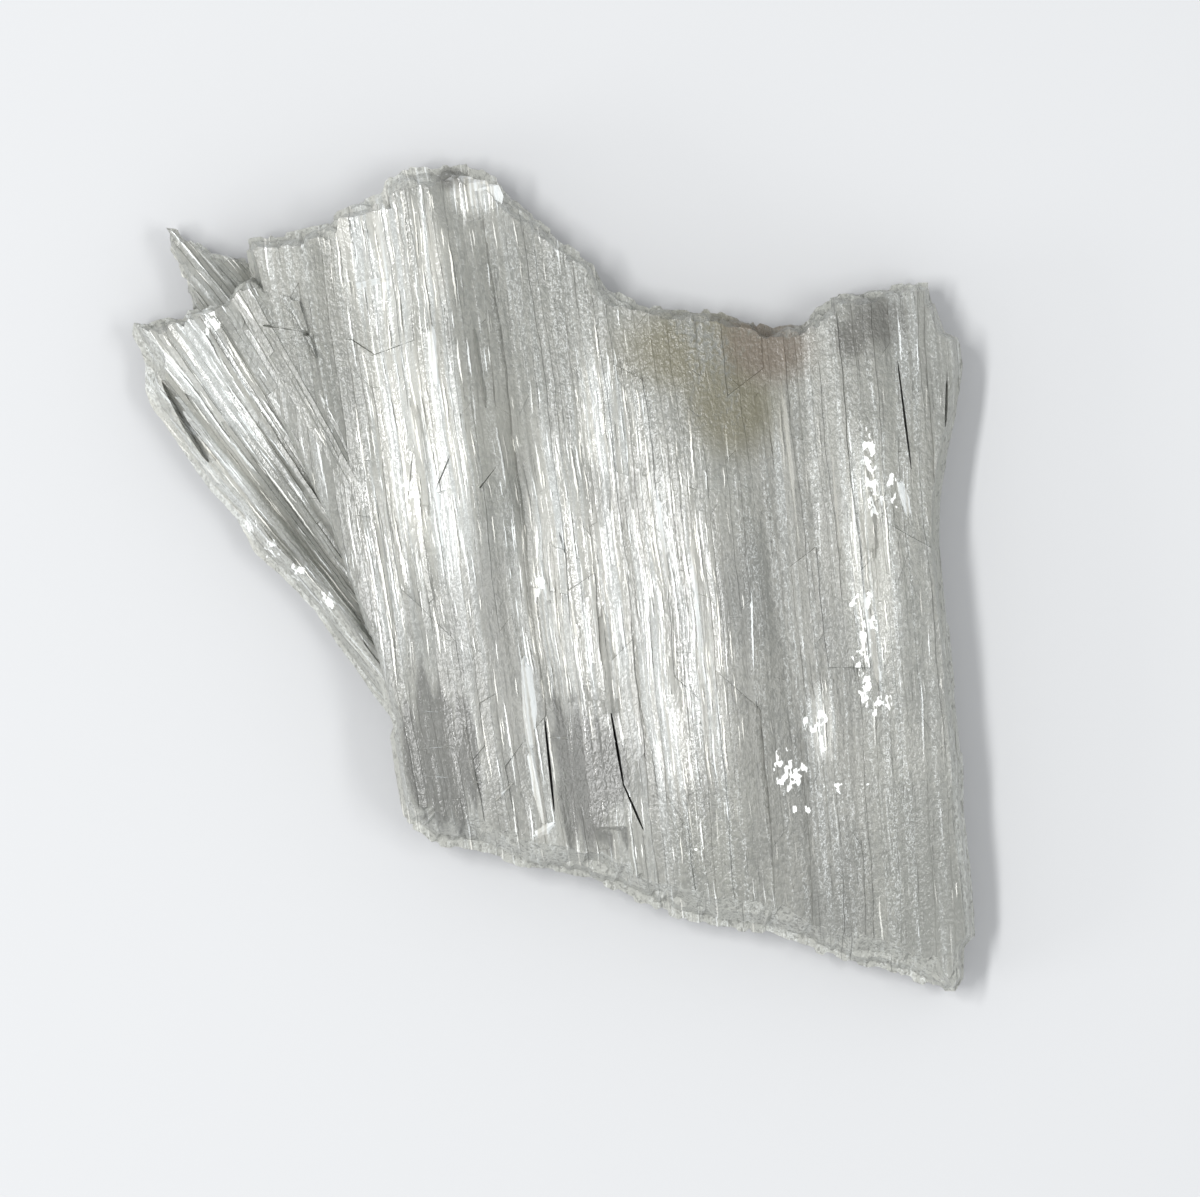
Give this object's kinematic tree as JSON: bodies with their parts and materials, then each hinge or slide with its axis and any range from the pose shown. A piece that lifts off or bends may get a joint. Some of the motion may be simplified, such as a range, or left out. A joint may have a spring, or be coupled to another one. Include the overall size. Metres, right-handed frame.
{
  "type": "probertite specimen",
  "caption": "Cleaved piece of silky, translucent white probertite: intergrown long blades in a slab with a splayed wing and a spur, lying on its flat back.",
  "frame": {"origin": "centre of the bounding box at the level of the flat back it rests on", "axes": "+Z out of the silky face, +Y along the blades of the slab towards the high end, +X towards the side away from the wing"},
  "size_m": [0.07, 0.0688, 0.0121],
  "materials": {
    "probertite": "satin"
  },
  "bodies": {
    "root": {"probertite_crystals": "probertite"}
  },
  "joints": []
}
